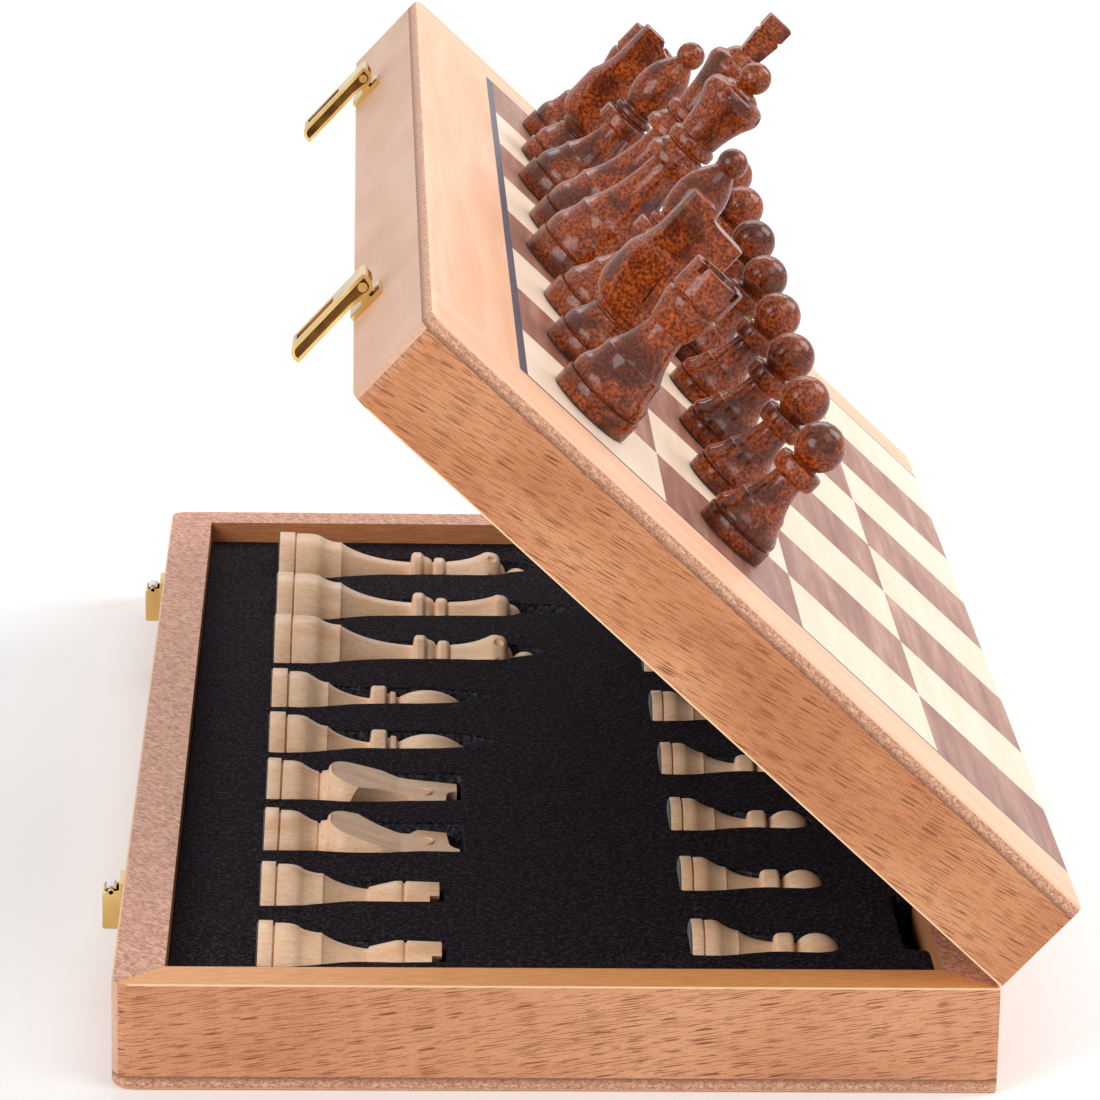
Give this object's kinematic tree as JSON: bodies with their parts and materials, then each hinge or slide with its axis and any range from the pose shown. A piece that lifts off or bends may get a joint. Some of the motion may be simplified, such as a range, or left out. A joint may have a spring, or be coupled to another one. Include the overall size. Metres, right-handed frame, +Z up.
{
  "type": "magnetic folding chess set",
  "caption": "Folding wooden chess box: hinged halves carry the board outside and slotted foam inside; magnetic pieces stand on the raised lid and lie in the tray",
  "frame": {"origin": "centre of the tray's underside", "axes": "X from the latches to the hinge, Y along the hinge, Z up from the underside"},
  "size_m": [0.2138, 0.38, 0.1997],
  "materials": {
    "beech": "satin",
    "core_board": "satin",
    "inlay_dark": "satin",
    "maple": "satin",
    "walnut": "satin",
    "steel_sheet": "brushed",
    "foam": "matte",
    "brass": "polished",
    "bright_steel": "polished",
    "dark_wood": "gloss",
    "light_wood": "matte"
  },
  "bodies": {
    "tray": {"tray_panel": "core_board", "tray_margin": "beech", "tray_strip": "inlay_dark", "tray_light_squares": "maple", "tray_dark_squares": "walnut", "tray_latch_rail": "beech", "tray_end_rails": "beech", "tray_hinge_rail": "beech", "tray_steel_sheet": "steel_sheet", "tray_foam": "foam", "tray_hinge_leaves": "brass", "latch_keepers": "brass", "keeper_rollers": "bright_steel"},
    "lid": {"lid_panel": "core_board", "lid_margin": "beech", "lid_strip": "inlay_dark", "lid_light_squares": "maple", "lid_dark_squares": "walnut", "lid_latch_rail": "beech", "lid_end_rails": "beech", "lid_hinge_rail": "beech", "lid_steel_sheet": "steel_sheet", "lid_foam": "foam", "lid_hinge_leaves": "brass", "latch_brackets": "brass"},
    "lever_near": {"latch_lever_near": "brass"},
    "lever_far": {"latch_lever_far": "brass"},
    "dark_rook_near": {"dark_rook_near": "dark_wood"},
    "dark_knight_near": {"dark_knight_near": "dark_wood"},
    "dark_bishop_near": {"dark_bishop_near": "dark_wood"},
    "dark_queen": {"dark_queen": "dark_wood"},
    "dark_king": {"dark_king": "dark_wood"},
    "dark_bishop_far": {"dark_bishop_far": "dark_wood"},
    "dark_knight_far": {"dark_knight_far": "dark_wood"},
    "dark_rook_far": {"dark_rook_far": "dark_wood"},
    "dark_pawn_1": {"dark_pawn_1": "dark_wood"},
    "dark_pawn_2": {"dark_pawn_2": "dark_wood"},
    "dark_pawn_3": {"dark_pawn_3": "dark_wood"},
    "dark_pawn_4": {"dark_pawn_4": "dark_wood"},
    "dark_pawn_5": {"dark_pawn_5": "dark_wood"},
    "dark_pawn_6": {"dark_pawn_6": "dark_wood"},
    "dark_pawn_7": {"dark_pawn_7": "dark_wood"},
    "dark_pawn_8": {"dark_pawn_8": "dark_wood"},
    "light_rook_a": {"light_rook_a": "light_wood"},
    "light_rook_b": {"light_rook_b": "light_wood"},
    "light_knight_a": {"light_knight_a": "light_wood"},
    "light_knight_b": {"light_knight_b": "light_wood"},
    "light_bishop_a": {"light_bishop_a": "light_wood"},
    "light_bishop_b": {"light_bishop_b": "light_wood"},
    "light_spare_queen": {"light_spare_queen": "light_wood"},
    "light_king": {"light_king": "light_wood"},
    "light_queen": {"light_queen": "light_wood"},
    "light_pawn_1": {"light_pawn_1": "light_wood"},
    "light_pawn_2": {"light_pawn_2": "light_wood"},
    "light_pawn_3": {"light_pawn_3": "light_wood"},
    "light_pawn_4": {"light_pawn_4": "light_wood"},
    "light_pawn_5": {"light_pawn_5": "light_wood"},
    "light_pawn_6": {"light_pawn_6": "light_wood"},
    "light_pawn_7": {"light_pawn_7": "light_wood"},
    "light_pawn_8": {"light_pawn_8": "light_wood"}
  },
  "joints": [
    {"name": "lid_hinge", "type": "hinge", "parent": "tray", "child": "lid", "pos_m": [0.09615, 0, 0.02465], "axis": [0, 1, 0], "range_deg": [-42.7, 137.3]},
    {"name": "latch_near_swing", "type": "hinge", "parent": "lid", "child": "lever_near", "pos_m": [-0.04296, -0.119, 0.16329], "axis": [0, 1, 0], "range_deg": [0, 95]},
    {"name": "latch_far_swing", "type": "hinge", "parent": "lid", "child": "lever_far", "pos_m": [-0.04296, 0.125, 0.16329], "axis": [0, 1, 0], "range_deg": [0, 95]},
    {"name": "dark_rook_near_lift", "type": "slide", "parent": "lid", "child": "dark_rook_near", "axis": [0.6782, 0, 0.7349], "range_m": [0, 0.03]},
    {"name": "dark_knight_near_lift", "type": "slide", "parent": "lid", "child": "dark_knight_near", "axis": [0.6782, 0, 0.7349], "range_m": [0, 0.03]},
    {"name": "dark_bishop_near_lift", "type": "slide", "parent": "lid", "child": "dark_bishop_near", "axis": [0.6782, 0, 0.7349], "range_m": [0, 0.03]},
    {"name": "dark_queen_lift", "type": "slide", "parent": "lid", "child": "dark_queen", "axis": [0.6782, 0, 0.7349], "range_m": [0, 0.03]},
    {"name": "dark_king_lift", "type": "slide", "parent": "lid", "child": "dark_king", "axis": [0.6782, 0, 0.7349], "range_m": [0, 0.03]},
    {"name": "dark_bishop_far_lift", "type": "slide", "parent": "lid", "child": "dark_bishop_far", "axis": [0.6782, 0, 0.7349], "range_m": [0, 0.03]},
    {"name": "dark_knight_far_lift", "type": "slide", "parent": "lid", "child": "dark_knight_far", "axis": [0.6782, 0, 0.7349], "range_m": [0, 0.03]},
    {"name": "dark_rook_far_lift", "type": "slide", "parent": "lid", "child": "dark_rook_far", "axis": [0.6782, 0, 0.7349], "range_m": [0, 0.03]},
    {"name": "dark_pawn_1_lift", "type": "slide", "parent": "lid", "child": "dark_pawn_1", "axis": [0.6782, 0, 0.7349], "range_m": [0, 0.03]},
    {"name": "dark_pawn_2_lift", "type": "slide", "parent": "lid", "child": "dark_pawn_2", "axis": [0.6782, 0, 0.7349], "range_m": [0, 0.03]},
    {"name": "dark_pawn_3_lift", "type": "slide", "parent": "lid", "child": "dark_pawn_3", "axis": [0.6782, 0, 0.7349], "range_m": [0, 0.03]},
    {"name": "dark_pawn_4_lift", "type": "slide", "parent": "lid", "child": "dark_pawn_4", "axis": [0.6782, 0, 0.7349], "range_m": [0, 0.03]},
    {"name": "dark_pawn_5_lift", "type": "slide", "parent": "lid", "child": "dark_pawn_5", "axis": [0.6782, 0, 0.7349], "range_m": [0, 0.03]},
    {"name": "dark_pawn_6_lift", "type": "slide", "parent": "lid", "child": "dark_pawn_6", "axis": [0.6782, 0, 0.7349], "range_m": [0, 0.03]},
    {"name": "dark_pawn_7_lift", "type": "slide", "parent": "lid", "child": "dark_pawn_7", "axis": [0.6782, 0, 0.7349], "range_m": [0, 0.03]},
    {"name": "dark_pawn_8_lift", "type": "slide", "parent": "lid", "child": "dark_pawn_8", "axis": [0.6782, 0, 0.7349], "range_m": [0, 0.03]},
    {"name": "light_rook_a_lift", "type": "slide", "parent": "tray", "child": "light_rook_a", "axis": [0, 0, 1], "range_m": [0, 0.016]},
    {"name": "light_rook_b_lift", "type": "slide", "parent": "tray", "child": "light_rook_b", "axis": [0, 0, 1], "range_m": [0, 0.016]},
    {"name": "light_knight_a_lift", "type": "slide", "parent": "tray", "child": "light_knight_a", "axis": [0, 0, 1], "range_m": [0, 0.016]},
    {"name": "light_knight_b_lift", "type": "slide", "parent": "tray", "child": "light_knight_b", "axis": [0, 0, 1], "range_m": [0, 0.016]},
    {"name": "light_bishop_a_lift", "type": "slide", "parent": "tray", "child": "light_bishop_a", "axis": [0, 0, 1], "range_m": [0, 0.016]},
    {"name": "light_bishop_b_lift", "type": "slide", "parent": "tray", "child": "light_bishop_b", "axis": [0, 0, 1], "range_m": [0, 0.016]},
    {"name": "light_spare_queen_lift", "type": "slide", "parent": "tray", "child": "light_spare_queen", "axis": [0, 0, 1], "range_m": [0, 0.016]},
    {"name": "light_king_lift", "type": "slide", "parent": "tray", "child": "light_king", "axis": [0, 0, 1], "range_m": [0, 0.016]},
    {"name": "light_queen_lift", "type": "slide", "parent": "tray", "child": "light_queen", "axis": [0, 0, 1], "range_m": [0, 0.016]},
    {"name": "light_pawn_1_lift", "type": "slide", "parent": "tray", "child": "light_pawn_1", "axis": [0, 0, 1], "range_m": [0, 0.016]},
    {"name": "light_pawn_2_lift", "type": "slide", "parent": "tray", "child": "light_pawn_2", "axis": [0, 0, 1], "range_m": [0, 0.016]},
    {"name": "light_pawn_3_lift", "type": "slide", "parent": "tray", "child": "light_pawn_3", "axis": [0, 0, 1], "range_m": [0, 0.016]},
    {"name": "light_pawn_4_lift", "type": "slide", "parent": "tray", "child": "light_pawn_4", "axis": [0, 0, 1], "range_m": [0, 0.016]},
    {"name": "light_pawn_5_lift", "type": "slide", "parent": "tray", "child": "light_pawn_5", "axis": [0, 0, 1], "range_m": [0, 0.016]},
    {"name": "light_pawn_6_lift", "type": "slide", "parent": "tray", "child": "light_pawn_6", "axis": [0, 0, 1], "range_m": [0, 0.016]},
    {"name": "light_pawn_7_lift", "type": "slide", "parent": "tray", "child": "light_pawn_7", "axis": [0, 0, 1], "range_m": [0, 0.016]},
    {"name": "light_pawn_8_lift", "type": "slide", "parent": "tray", "child": "light_pawn_8", "axis": [0, 0, 1], "range_m": [0, 0.016]}
  ]
}
